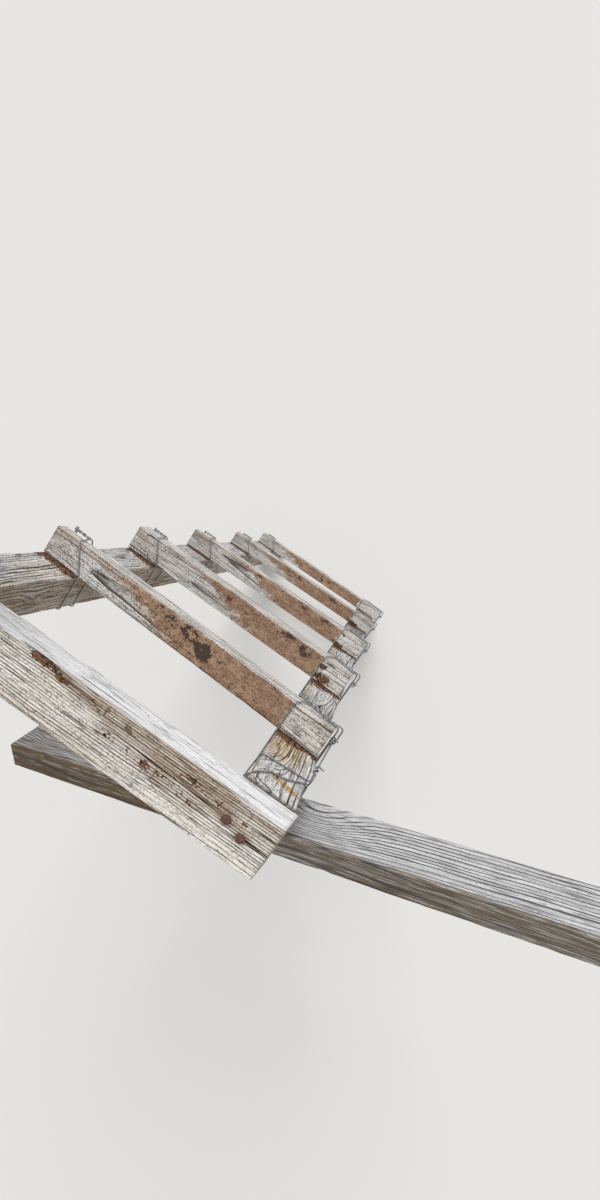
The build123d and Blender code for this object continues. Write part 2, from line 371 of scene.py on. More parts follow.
def rise(value, low, high):
    """A smooth rise from 0 at low to 1 at high."""
    share = min(max((value - low) / (high - low), 0.0), 1.0)
    return share * share * (3 - 2 * share)


def patch(x, z, middle_x, middle_z, radius_x, radius_z):
    """1 in the middle of a patch, falling to 0 a little beyond its radii."""
    return rise(1.25 - hypot((x - middle_x) / radius_x, (z - middle_z) / radius_z), 0.0, 0.8)


def finish_piece(looks, node, mesh):
    """Puts a finished mesh into the scene in place of its solid."""
    piece = bpy.data.objects.new(f"{looks}_{node}", mesh)
    bpy.context.collection.objects.link(piece)
    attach(piece, "root")
    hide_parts(node)


CELL = 4.5              # size of a timber's mesh cells
CORNER_STEPS = 4        # of a worn corner
DRIFT = (6, 420), (5, 380)      # how far the pith strays in y and in z, and in waves of what size

# The way each face looks and the way it runs, as y and z, in the order the faces are made
OUTWARD = [(0, -1), (1, 0), (0, 1), (-1, 0)]
ALONG_FACE = [(1, 0), (0, 1), (-1, 0), (0, -1)]


class Timber:
    """A sawn bar with x along it, from one end to the other as first and last give them. Its
    faces are: 0 at z = 0, 1 at the far y, 2 at the full height, 3 at y = 0. The pith is the y
    and z of the middle of its rings, which leans off by so much per millimetre of x.
    A wane is: corner, x where it is full, x where it is gone, cut along y, cut along z.
    A split is: face, then x and place of one end and of the other, gap, depth. Its places are
    counted from the corner where the face begins.
    A knot is: x, then z on the faces 1 and 3 or y on the others, face, size, swell of the rings.
    A rust mark is: x, y, z, reach."""

    def __init__(
        self, node, at, breadth, height, first, last, material, slot, seed, pith, spacing,
        lean=(0.0, 0.0), arris=3.0, wanes=(), splits=(), knots=(), rust=(), dirt=None, tone=None,
    ):
        self.breadth, self.height, self.seed = breadth, height, seed
        self.first, self.last = first, last
        self.pith, self.spacing, self.lean, self.arris = pith, spacing, lean, arris
        self.wanes, self.splits, self.knots, self.rust = wanes, splits, knots, rust
        self.dirt = dirt or (lambda x, y, z: (0.0, 0.0, 0.0))
        self.tone = tone or (lambda x, y, z: (0.0, 0.0))
        self.points, self.place, self.rings = [], [], []
        self.soil, self.marks, self.tones = [], [], []
        self.faces = []
        self.rows()
        mesh = bpy.data.meshes.new(node)
        mesh.from_pydata([LADDER @ (at @ Vector(p)) * MM for p in self.points], [], self.faces)
        rings = mesh.attributes.new("rings", "FLOAT", "POINT")
        rings.data.foreach_set("value", self.rings)
        for label, vectors in (
            ("place", self.place),
            ("dirt", self.soil),
            ("marks", self.marks),
            ("tone", self.tones),
        ):
            attribute = mesh.attributes.new(label, "FLOAT_VECTOR", "POINT")
            attribute.data.foreach_set("vector", [part for vector in vectors for part in vector])
        mesh.shade_smooth()
        mesh.set_sharp_from_angle(angle=radians(50))
        mesh.materials.append(material)
        finish_piece("weathered", node, mesh)

    def put(self, x, y, z, end=0.0, split=0.0):
        """One point of the mesh with what its material reads."""
        seed = self.seed
        (far_y, size_y), (far_z, size_z) = DRIFT
        middle_y = self.pith[0] + self.lean[0] * x + far_y * wave(x, seed * 50, 0, size_y)
        middle_z = self.pith[1] + self.lean[1] * x + far_z * wave(x, 900, seed * 50, size_z)
        reach = hypot(y - middle_y, z - middle_z) + 1.2 * wave(x, y + seed * 90, z, 70)
        for knot_x, knot_place, face, size, swell in self.knots:
            across, inward = (z, y) if face % 2 else (y, z)
            off = across - knot_place
            deep = abs(inward - {1: self.breadth, 2: self.height}.get(face, 0))
            spread = ((x - knot_x) / 1.7) ** 2 + off * off
            reach += swell * exp(-spread / (size * size) - deep / 60)
        near = 0.0
        for rust_x, rust_y, rust_z, size in self.rust:
            far = hypot((x - rust_x) / 1.8, y - rust_y, z - rust_z)
            near = max(near, 1 - far / size)
        self.points.append((x, y, z))
        self.place.append(((x + seed * 977) * MM, (y + seed * 131) * MM, z * MM))
        near_rings = 0.6 * wave(reach, seed * 70, 0, 2.4 * self.spacing)
        self.rings.append(reach / self.spacing + near_rings + seed * 3)
        self.soil.append(self.dirt(x, y, z))
        # marks: sawn end, depth in a split (its material paints that bottom near-black as painted
        # shade), rust
        self.marks.append((end, split, max(near, 0.0)))
        self.tones.append((rise(z, self.height - 3, self.height - 0.6), *self.tone(x, y, z)))
        return len(self.points) - 1

    def worn(self, corner, x):
        """How far a corner is worn off along y and along z there, and how straight the cut is."""
        long_waves = wave(x, corner * 310 + self.seed * 70, 0, 60)
        short_waves = wave(x, corner * 90, 50, 17)
        chip = max(0.0, wave(x, corner * 170, self.seed * 40, 34) - 0.42)
        away = self.arris * (1 + 0.45 * long_waves + 0.3 * short_waves)
        away += 9 * chip
        cut = (max(away, 1.2), max(away, 1.2), 0.0)
        for which, full, gone, along_y, along_z in self.wanes:
            share = rise((x - gone) / (full - gone), 0, 1) * (1 + 0.22 * wave(x, which * 80, 3, 23))
            if which == corner and share * along_y > cut[0]:
                cut = (share * along_y, max(share * along_z, cut[1]), 0.55)
        return cut

    def outline(self, x):
        """Round the bar at x: each point's y and z, its face, and the depth of a split there."""
        spans = [self.breadth, self.height] * 2
        corners = [(0, 0), (self.breadth, 0), (self.breadth, self.height), (0, self.height)]
        for face, (corner_y, corner_z) in enumerate(corners):
            cut, following = self.worn(face, x), self.worn((face + 1) % 4, x)
            start, back, end = cut[face % 2], cut[1 - face % 2], spans[face] - following[face % 2]
            straight = cut[2]
            (way_y, way_z), (from_y, from_z) = ALONG_FACE[face], ALONG_FACE[face - 1]
            for step in range(CORNER_STEPS):
                turn = pi / 2 / CORNER_STEPS * step
                share = step / CORNER_STEPS
                a = (1 - sin(turn)) * (1 - straight) + (1 - share) * straight
                b = (1 - cos(turn)) * (1 - straight) + share * straight
                yield (
                    corner_y - from_y * back * a + way_y * start * b,
                    corner_z - from_z * back * a + way_z * start * b,
                    face,
                    0.0,
                )
            stops = [(start, 0.0), *self.split_stops(face, x), (end, 0.0)]
            for (a, depth), (b, _), count in zip(stops, stops[1:], self.counts[face]):
                for step in range(count):
                    place = a + (b - a) * step / count
                    yield (
                        corner_y + way_y * place,
                        corner_z + way_z * place,
                        face,
                        0.0 if step else depth,
                    )
            yield corner_y + way_y * end, corner_z + way_z * end, face, 0.0

    def split_stops(self, face, x):
        """The two lips of each split of a face at x, and its bottom between them: place, depth."""
        stops = []
        for on, x0, place0, x1, place1, gap, depth in sorted(
            self.splits, key=lambda split: split[2] + split[4]
        ):
            if on != face:
                continue
            share = (x - x0) / (x1 - x0)
            gape = rise(share, 0.0, 0.2) * rise(1 - share, 0.0, 0.15)
            gape *= 0.8 + 0.4 * wave(x, place0, 40, 30)
            middle = place0 + (place1 - place0) * min(max(share, -0.3), 1.3)
            middle += 0.5 * wave(x, place0, 0, 28)
            side = max(gap * gape, 0.1) / 2
            stops += [(middle - side, 0.0), (middle, depth * max(gape, 0.0)), (middle + side, 0.0)]
        return stops

    def rows(self):
        """The mesh: an outline every cell along the bar, and ends closed by smaller outlines."""
        self.counts = []
        for face, span in enumerate([self.breadth, self.height] * 2):
            middles = sorted((split[2] + split[4]) / 2 for split in self.splits if split[0] == face)
            stops = [self.arris, *middles, span - self.arris]
            counts = [max(2, round((b - a) / CELL)) for a, b in zip(stops, stops[1:])]
            # one cell from each lip of a split to its bottom, between the cells of the face
            self.counts.append([cells for count in counts for cells in (count, 1, 1)][:-2])
        middle = (self.breadth / 2, self.height / 2)
        start, length = self.first(*middle), self.last(*middle) - self.first(*middle)
        steps = round(length / CELL)
        loops = []
        for row in range(steps + 1):
            loop = []
            near = start + length * row / steps
            for y, z, face, depth in self.outline(near):
                long_waves = wave(near, y, z + self.seed * 60, 90)
                short_waves = wave(near, y, z, 21)
                dent = 0.4 + 0.3 * long_waves + 0.15 * short_waves + depth
                y -= OUTWARD[face][0] * dent
                z -= OUTWARD[face][1] * dent
                low, high = self.first(y, z), self.last(y, z)
                x = low + (high - low) * row / steps
                by_end = rise(4 - min(x - low, high - x), 0, 4) * 0.6
                loop.append(self.put(x, y, z, by_end, rise(depth, 0.0, 0.6)))
            loops.append(loop)
        around = len(loops[0])
        pairs = [(j, (j + 1) % around) for j in range(around)]
        for one, two in zip(loops, loops[1:]):
            self.faces += [(one[j], one[k], two[k], two[j]) for j, k in pairs]
        for loop, end, sign in ((loops[0], self.first, -1), (loops[-1], self.last, 1)):
            rim = [self.points[i] for i in loop]
            layers = max(3, round(min(middle) / CELL))
            for layer in range(1, layers + 1):
                inner = []
                share = layer / layers
                for _, y, z in rim if layer < layers else rim[:1]:
                    y += (middle[0] - y) * share
                    z += (middle[1] - z) * share
                    pits = abs(wave(y, z, self.seed * 30, 7))
                    saw_marks = wave(y * 3, z * 0.4, 20, 6)
                    rough = 0.5 + 0.8 * pits + 0.4 * saw_marks
                    inner.append(self.put(end(y, z) - sign * max(rough, 0.0), y, z, 1.0))
                for j, k in pairs:
                    if layer < layers:
                        face = (loop[j], loop[k], inner[k], inner[j])
                    else:
                        face = (loop[j], loop[k], inner[0])
                    self.faces.append(face if sign > 0 else face[::-1])
                loop = inner


def heaviest(x, z, patches):
    """The most that any of the patches gives there: middle, radii and weight of each."""
    return max([patch(x, z, *spot[:4]) * spot[4] for spot in patches] + [0.0])


def muddy_tread(muddy_from, muddy_to, height, patches, litter):
    """Soil on the face that is trodden: it starts along the outward edge and then covers all."""
    def dirt(x, y, z):
        trodden = rise(7 - y, 0, 5)
        mud = rise(x + 150 * z / height, muddy_from + 30, muddy_from + 210)
        mud *= rise(muddy_to + 5 - x, 0, 12)
        mud *= trodden * (1 - 0.85 * rise(z, height - 4, height - 0.5))
        dark = heaviest(x, z, patches) * trodden
        crumbs = heaviest(x, z, [(*spot, 1.0) for spot in litter]) * trodden
        return 0.95 * mud, dark, 0.9 * crumbs
    return dirt


def tread_tone(muddy_to, height):
    """All but the outward face is grey as far as the soil reaches, the trodden face is stained
    along its outward edge, and the outward face is grimy in patches."""
    def tone(x, y, z):
        edge = rise(z, height - 16, height - 5) * rise(5 - y, 0, 4)
        stained = edge * (0.25 + 0.5 * rise(wave(x, height * 9, 0, 80), -0.3, 0.5))
        outward = rise(z, height - 4, height)
        grimy = 0.3 * rise(wave(x, y, height * 7, 60), -0.4, 0.5) * rise(muddy_to + 30 - x, 0, 90)
        return stained, 0.22 * rise(muddy_to - x, 0, 20) * (1 - outward) + grimy * outward
    return tone


def square(place):
    """An end sawn square at that place."""
    return lambda y, z: place


# A stringer lies with its x down the slope, its y to the left and its full height at the
# face that carries the treads
SIDE_FACE = Matrix(((0, -1, 0, 0), (1, 0, 0, 0), (0, 0, 1, -DEPTH), (0, 0, 0, 1)))


def stringer_dirt(side):
    """Litter in the angle above each tread."""
    def dirt(x, y, z):
        litter = 0.0
        for tread in TREADS:
            edge = across_tread(tread, HALF - y if side > 0 else -(HALF - LEFT_BREADTH) - y, 0)
            depth = 26 + 24 * wave(y, tread[1], side * 20, 22)
            depth += 45 * rise(y, 20, 66) if side > 0 else 18
            litter = max(litter, rise(x, edge - depth, edge - 2) * rise(edge + 6 - x, 0, 4))
        return 0.0, 0.0, 1.15 * litter * rise(z, DEPTH - 3, DEPTH - 1)
    return dirt


def stringer_tone(side):
    """The inner edge has kept a warm brown, most of all above the second tread, and so has a
    patch by the head of the right stringer. Both are grimy in places, the right one more so
    below the second tread."""
    def tone(x, y, z):
        inner = rise((y - 46) if side > 0 else (26 - y), 0, 22)
        near = patch(x, y, 160, 50 if side > 0 else 20, 75, 44)
        warm = inner * 0.4 * rise(wave(x, 5, side * 30, 90), -0.2, 0.4)
        golden = 1.4 * patch(x - 0.28 * (y - 25), y, 39, 25, 9, 26) if side > 0 else 0.0
        grimy = 0.25 + 0.5 * rise(x, 220, 320) if side > 0 else 0.25
        warm = max(warm, golden, (0.75 if side > 0 else 0.3) * near)
        return warm, grimy * rise(wave(x, 7, side * 50, 120), -0.4, 0.4)
    return tone


LEVEL_CUT = 1 / tan(SLOPE)      # along a stringer, for each millimetre of its depth


def level_foot(y, z):
    """The foot of a stringer, cut level."""
    return LENGTH + (z - DEPTH) * LEVEL_CUT


Timber(
    "right_stringer", Matrix.Translation((HALF, 0, 0)) @ SIDE_FACE, RIGHT_BREADTH, DEPTH,
    square(0.0), level_foot, STRINGER_PINE, "stringer_wood",
    seed=1, pith=(-40.0, 15.0), spacing=4.2, lean=(0.004, 0.012), arris=3.2,
    splits=[
        (2, 112, 33.7, 210, 33.5, 2.0, 6),
        (2, 62, 47.0, 225, 45.3, 1.7, 4),
        (2, 300, 22, 520, 27, 1.6, 4),
    ],
    knots=[
        (26, 76, 2, 38, -40), (418, 68, 2, 36, -34), (820, 20, 2, 20, 12),
        (1230, 55, 2, 22, 12), (300, 30, 3, 20, 12), (1500, 30, 1, 20, 12),
    ],
    dirt=stringer_dirt(1), tone=stringer_tone(1),
)
Timber(
    "left_stringer", Matrix.Translation((LEFT_BREADTH - HALF, 0, 0)) @ SIDE_FACE,
    LEFT_BREADTH, DEPTH, square(0.0), level_foot, STRINGER_PINE, "stringer_wood",
    seed=2, pith=(-45.0, -30.0), spacing=3.8, lean=(-0.006, 0.008), arris=3.4,
    splits=[
        (2, 40, 23, 208, 20.3, 2.2, 6),
        (2, 60, 42, 226, 38, 2.6, 7),
        (2, 90, 60.5, 205, 61.5, 1.8, 5),
    ],
    knots=[
        (128, 21, 3, 20, 14), (640, 40, 2, 20, 12), (1120, 25, 2, 18, 12), (1640, 60, 2, 20, 12),
    ],
    dirt=stringer_dirt(-1), tone=stringer_tone(-1),
)

# Each tread: where its soil starts and ends along it, pith, ring spacing, dark patches (place,
# size and weight), litter (place and size), wanes, splits and knots
TREAD_LOOKS = {
    "second_tread": (
        150, 483, (-30.0, 25.0), 4.4,
        [
            (318, 27, 23, 20, 1.0), (284, 38, 28, 14, 0.78), (235, 38, 60, 13, 0.62),
            (352, 27, 8, 12, 0.6), (400, 12, 60, 8, 0.45),
        ],
        [],
        [(2, 0, 120, 34, 16)],
        [
            (2, 300, 21, 548, 17, 2.4, 5),
            (2, 60, 14, 250, 20, 2.0, 4),
            (2, 390, 30, 520, 32, 2.2, 4),
        ],
        [],
    ),
    "third_tread": (
        190, 480, (-25.0, 20.0), 3.8,
        [
            (389, 46, 24, 8, 0.8), (437, 37, 26, 13, 0.8), (300, 30, 16, 9, 0.55),
            (250, 40, 40, 10, 0.45),
        ],
        [(497, 12, 24, 14), (486, 34, 12, 9)],
        [],
        [
            (2, 360, 26, 540, 24, 2.4, 5),
            (2, 80, 30, 260, 26, 2.0, 4),
            (2, 250, 40, 470, 43, 2.2, 4),
        ],
        [(300, 20, 3, 12, 10), (120, 26, 2, 14, 12)],
    ),
    "fourth_tread": (
        175, 480, (-40.0, 30.0), 3.6,
        [
            (372, 38, 24, 9, 0.75), (427, 37, 24, 10, 0.8), (205, 36, 36, 10, 0.6),
            (300, 20, 40, 8, 0.45),
        ],
        [(492, 5, 24, 8), (500, 38, 18, 5)],
        [(2, 0, 70, 12, 9)],
        [(3, 140, 8, 215, 30, 1.6, 4), (2, 200, 20, 480, 24, 1.5, 4)],
        [],
    ),
    "fifth_tread": (
        140, 478, (-30.0, -10.0), 4.0,
        [(250, 28, 60, 12, 0.6), (400, 28, 24, 8, 0.7)],
        [(490, 5, 30, 7)],
        [],
        [(2, 120, 22, 430, 26, 1.5, 4)],
        [(330, 18, 3, 12, 10)],
    ),
    "lowest_tread": (
        105, 470, (-25.0, 15.0), 4.0, [(300, 20, 50, 12, 0.6)], [], [], [], [(420, 20, 3, 12, 10)],
    ),
}
for seed, (name, station, height, width, skew, left, right) in enumerate(TREADS, 3):
    looks = TREAD_LOOKS[name]
    muddy_from, muddy_to, pith, spacing, patches, litter, wanes, splits, knots = looks
    span = left + WIDTH + right
    at = Matrix.Translation((HALF + right, station, SEAT)) @ Matrix.Rotation(radians(skew), 4, "Z")
    Timber(
        name, at @ Matrix.Translation((-span, 0, 0)), width, height, square(0.0), square(span),
        TREAD_PINE, "tread_wood", seed, pith, spacing, lean=(0.01, -0.008), arris=2.4,
        wanes=wanes, splits=splits, knots=knots,
        dirt=muddy_tread(muddy_from, muddy_to, height, patches, litter),
        tone=tread_tone(muddy_to, height),
    )

# Top tread: its section, how far it lies below the faces of the stringers, how far its ends run
# out past them, and the angle of its right end
TOP_WIDTH, TOP_THICK, TOP_DROP = 77.0, 53.0, 3.5
TOP_LEFT, TOP_RIGHT, TOP_CUT = -1.0, -2.0, radians(8.0)
TOP_LENGTH = TOP_LEFT + WIDTH + TOP_RIGHT

# Nails: node, x, and depth in from the faces of the stringers
NAILS = [
    (f"{place}_nail_{hand}", side * (HALF - inset), depth)
    for hand, side in (("left", -1), ("right", 1))
    for place, inset, depth in (("inner", 65.5, 35.0), ("outer", 40.0, 44.0))
]

# Litter and stains on the top tread: place, size and weight of each patch
TOP_LITTER = [
    (206, 73, 28, 8, 1.15), (234, 67, 20, 6, 1.0), (300, 66, 60, 6, 0.55),
    (445, 58, 45, 9, 0.6), (392, 38, 50, 12, 0.48), (375, 41, 9, 6, 0.85),
    (408, 35, 11, 6, 0.6), (444, 35, 7, 5, 0.6), (509, 52, 6, 4, 0.9), (330, 45, 40, 12, 0.42),
]
TOP_STAINS = [
    (306, 39, 7, 5, 1.0), (385, 42, 42, 16, 0.6), (430, 33, 40, 11, 0.5), (335, 47, 44, 14, 0.35),
]


def top_dirt(x, y, z):
    """A patch of red-brown litter on the upper face, at its outward edge, and crumbs beyond."""
    return 0.0, 0.0, rise(6 - y, 0, 4) * heaviest(x, z, TOP_LITTER)


def top_tone(x, y, z):
    """On the upper face a brown band along the outward edge, wider to the right and fainter at
    the right end, with stains behind it, and grime at the left. The outward face is grimy too,
    most at the left."""
    low = 66 - 11 * rise(x, 200, 320) - 11 * rise(x, 340, 420)
    band = rise(z + 3 * wave(x, 3, 0, 40), low - 6, low + 5) * rise(x, 165, 240) * rise(6 - y, 0, 4)
    band *= (0.72 + 0.12 * rise(x, 340, 420)) * (1 - 0.6 * rise(x, 470, 520))
    stained = heaviest(x, z, TOP_STAINS) * rise(6 - y, 0, 4)
    outward = rise(z, TOP_WIDTH - 4, TOP_WIDTH)
    grimy = 0.6 * rise(190 - x, 0, 140) * rise(6 - y, 0, 4) * (1 - outward)
    grimy += outward * (0.12 * rise(460 - x, 0, 160) + 0.45 * rise(260 - x, 0, 200))
    return max(band, stained), grimy


RUST_REACH = 11.0       # of the rust in the wood round a nail
Timber(
    "top_tread",
    Matrix.Translation((-HALF - TOP_LEFT, -TOP_THICK - SEAT, -TOP_DROP - TOP_WIDTH)),
    TOP_THICK, TOP_WIDTH, square(0.0), lambda y, z: TOP_LENGTH + y * tan(TOP_CUT),
    TOP_PINE, "top_wood",
    seed=9, pith=(110.0, -50.0), spacing=2.4, lean=(0.006, 0.008), arris=2.2,
    splits=[
        (3, 300, 26.4, 494, 31.4, 3.0, 8),
        (3, 496, 39.9, 700, 43.0, 3.8, 9),
        (3, 506, 23.2, 680, 18.6, 2.4, 6),
        (3, 20, 44, 120, 48, 1.8, 5),
    ],
    rust=[
        (x + HALF + TOP_LEFT, 0.0, TOP_DROP + TOP_WIDTH - depth, RUST_REACH)
        for _, x, depth in NAILS
    ],
    dirt=top_dirt, tone=top_tone,
)

# Bearer: its section, its length to either side of the point where its highest edge crosses
# behind the right stringer, that point's place, and how it is turned, raised and rolled
BEARER_WIDTH, BEARER_THICK = 80.5, 42.0
BEARER_LEFT, BEARER_RIGHT = 450.0, 560.0
BEARER_STATION, BEARER_DROP = 79.6, 31.4
BEARER_TURN, BEARER_RISE, BEARER_ROLL = radians(16.1), radians(27.1), radians(-43.0)
crossing = LADDER @ Vector((HALF - RIGHT_BREADTH / 2, BEARER_STATION, -DEPTH - BEARER_DROP))
bearer_turned = (
    Matrix.Rotation(BEARER_TURN, 4, "Z")
    @ Matrix.Rotation(-BEARER_RISE, 4, "Y")
    @ Matrix.Rotation(BEARER_ROLL, 4, "X")
)
BEARER = LADDER.inverted() @ Matrix.Translation(crossing) @ bearer_turned


def bearer_stain_painted_shade_and_grime(x, y, z):
    """The narrow side at the highest edge is stained, and so is what lies left of the crossing; the
    stain brown is dark enough to be painted shade on that narrow side too. The whole is a little
    grimy."""
    return 0.9 * rise(6 - y, 0, 4) + 0.5 * rise(430 - x, 0, 60), 0.3


Timber(
    "bearer", BEARER @ Matrix.Translation((-BEARER_LEFT, 0, -BEARER_THICK)),
    BEARER_WIDTH, BEARER_THICK, square(0.0), square(BEARER_LEFT + BEARER_RIGHT),
    BEARER_PINE, "bearer_wood",
    seed=10, pith=(-60.0, 60.0), spacing=6.0, lean=(0.02, 0.006), arris=3.1,
    knots=[(530, 50, 2, 40, 30), (60, 35, 2, 24, 16)], tone=bearer_stain_painted_shade_and_grime,
)


# Radius of a nail and place along it, from the middle of the head to the point
NAIL_RINGS = [
    (0.0, -2.5), (3.0, -2.45), (5.4, -2.1), (6.35, -1.3), (6.1, -0.3), (2.5, 0.0),
    (2.45, 30.0), (2.45, 96.0), (1.2, 102.0), (0.0, 105.0),
]
NAIL_SIDES = 28


def nail(node, x, depth):
    """A nail driven down the slope through the top tread, its head dented and a little out of
    round."""
    at = LADDER @ Matrix.Translation((x, -TOP_THICK - SEAT, -depth))
    at @= Matrix.Rotation(-pi / 2, 4, "X")
    points, faces = [], []
    for radius, z in NAIL_RINGS:
        for step in range(NAIL_SIDES if radius else 1):
            turn = 2 * pi * step / NAIL_SIDES
            bulge = 0.035 * wave(cos(turn) * 9, sin(turn) * 9, x + depth, 6) if z < 0 else 0
            out = radius * (1 + bulge)
            sunk = 0.25 * wave(out * cos(turn), out * sin(turn), x, 3) if radius and z < -1 else 0.0
            points.append(at @ Vector((out * cos(turn), out * sin(turn), z + abs(sunk))) * MM)
    last = len(points) - 1
    for j in range(NAIL_SIDES):
        k = (j + 1) % NAIL_SIDES
        faces.append((0, 1 + k, 1 + j))
        for row in range(len(NAIL_RINGS) - 3):
            a = 1 + row * NAIL_SIDES
            faces.append((a + j, a + k, a + NAIL_SIDES + k, a + NAIL_SIDES + j))
        faces.append((last, last - NAIL_SIDES + j, last - NAIL_SIDES + k))
    mesh = bpy.data.meshes.new(node)
    mesh.from_pydata(points, [], faces)
    mesh.shade_smooth()
    mesh.set_sharp_from_angle(angle=radians(60))
    mesh.materials.append(RUST)
    finish_piece("rusted", node, mesh)


for node, x, depth in NAILS:
    nail(node, x, depth)


def wire_nodes():
    """The node tree of a wire: it rounds the bends of a route and runs a round wire along it."""
    tree = bpy.data.node_groups.new("round wire", "GeometryNodeTree")
    for label, direction, kind in (
        ("Route", "INPUT", "NodeSocketGeometry"),
        ("Wire radius", "INPUT", "NodeSocketFloat"),
        ("Bend radius", "INPUT", "NodeSocketFloat"),
        ("Finish", "INPUT", "NodeSocketMaterial"),
        ("Wire", "OUTPUT", "NodeSocketGeometry"),
    ):
        tree.interface.new_socket(label, in_out=direction, socket_type=kind)
    given = add(tree, "NodeGroupInput").outputs
    bent = add(tree, "GeometryNodeFilletCurve", {
        "Curve": given["Route"], "Radius": given["Bend radius"], "Count": 4, "Limit Radius": True,
    }, mode="POLY")
    ring = add(tree, "GeometryNodeCurvePrimitiveCircle", {
        "Resolution": 12, "Radius": given["Wire radius"],
    })
    drawn = add(tree, "GeometryNodeCurveToMesh", {
        "Curve": bent.outputs[0], "Profile Curve": ring.outputs[0], "Fill Caps": True,
    })
    smooth = add(tree, "GeometryNodeSetShadeSmooth", {0: drawn.outputs[0]})
    whole = add(tree, "GeometryNodeRealizeInstances", {0: smooth.outputs[0]})
    made = add(tree, "GeometryNodeSetMaterial", {
        "Geometry": whole.outputs[0], "Material": given["Finish"],
    })
    add(tree, "NodeGroupOutput", {0: made.outputs[0]})
    return tree


ROUND_WIRE = wire_nodes()
WIRE_DIAMETER = 2.6
THINNER = 0.03          # off the radius, so that a full round stays inside the solid's six sides
CLEAR = 0.3             # between a wire and the timber or another wire
TWIST_CLEAR = 0.4       # between twisted strands
BEND = 2.4              # half the radius of a bend
TAIL = 7.0              # cut end beyond the last bend
TURN_STEPS, HALF_TURN_STEPS = 14, 8
OFF = WIRE_DIAMETER / 2 + CLEAR         # from the timber to the middle of a wire
LAP = WIRE_DIAMETER + CLEAR             # from the middle of a wire to that of the next
EYE_RADIUS = WIRE_DIAMETER + 2 * CLEAR
TWIST_RADIUS = (WIRE_DIAMETER + TWIST_CLEAR) / 2
BEHIND = -DEPTH - OFF


def wire(node, route):
    """A wire along a route given in the frame of the ladder."""
    curve = bpy.data.curves.new(node, "CURVE")
    curve.dimensions = "3D"
    spline = curve.splines.new("POLY")
    spline.points.add(len(route) - 1)
    for point, corner in zip(spline.points, route):
        point.co = (*(LADDER @ corner * MM), 1.0)
    holder = bpy.data.objects.new(node, curve)
    bpy.context.collection.objects.link(holder)
    modifier = holder.modifiers.new("round wire", "NODES")
    modifier.node_group = ROUND_WIRE
    given = {
        "Wire radius": (WIRE_DIAMETER / 2 - THINNER) * MM,
        "Bend radius": 2 * BEND * MM,
        "Finish": WIRE,
    }
    for item in ROUND_WIRE.interface.items_tree:
        if item.name in given:
            modifier[item.identifier] = given[item.name]
    bpy.context.view_layer.update()
    made = holder.evaluated_get(bpy.context.evaluated_depsgraph_get())
    mesh = bpy.data.meshes.new_from_object(made)
    mesh.name = node
    bpy.data.objects.remove(holder)
    finish_piece("round", node, mesh)


def strand(start, finish, up, radius, turns, phase):
    """The path of a wire wound about the line from start to finish."""
    along = (finish - start).normalized()
    up = (up - along * up.dot(along)).normalized()
    steps = round(abs(turns) * TURN_STEPS)
    path = []
    for step in range(steps + 1):
        angle = phase + 2 * pi * turns * step / steps
        outward = up * cos(angle) + along.cross(up) * sin(angle)
        path.append(start + (finish - start) * (step / steps) + outward * radius)
    return path


def half_turn(centre, first, second, radius):
    """The path of a bend through 180 degrees, from first, by second, to the far side."""
    path = []
    for step in range(HALF_TURN_STEPS + 1):
        turn = pi * step / HALF_TURN_STEPS
        path.append(centre + first * (radius * cos(turn)) + second * (radius * sin(turn)))
    return path


# Lashings of the treads: hand, side, breadth of the stringer, where the strands meet in from
# its inner side, and turns of their twist
LASHINGS = (("left", -1, LEFT_BREADTH, 30.0, 1.75), ("right", 1, RIGHT_BREADTH, 18.0, 2.75))
TWIST_EDGE = 6.0        # where the strands meet, from the lower edge of the tread
TWIST_END = 3.0         # where the twist stops, from the edge that the eye hangs over
EYE_DROP = 26.0         # bottom of a right eye below the strands on the outward face
EYE_INSET = 14.0        # middle of a left eye, from the end of the tread


def right_ends(eye, flush, aside, way, high):
    """One end of a right lashing, from its cut end through the eye and down the outer side."""
    return [
        (aside + TAIL, eye.y - way * (EYE_RADIUS + CLEAR), high),
        (aside, eye.y - way * EYE_RADIUS, high),
        (aside, eye.y + way * EYE_RADIUS, high),
        (flush, eye.y + way * 3 * EYE_RADIUS, high),
        (flush, eye.y + way * 3 * EYE_RADIUS, -LAP),
    ]


def left_ends(eye, clear, high):
    """One end of a left lashing, from its cut end beside the eye and down the outer side."""
    return [
        (eye.x + 2 * EYE_RADIUS, eye.y + TAIL, high),
        (eye.x + 2 * EYE_RADIUS, eye.y, high),
        (clear, eye.y, high),
        (clear, eye.y, -LAP),
    ]


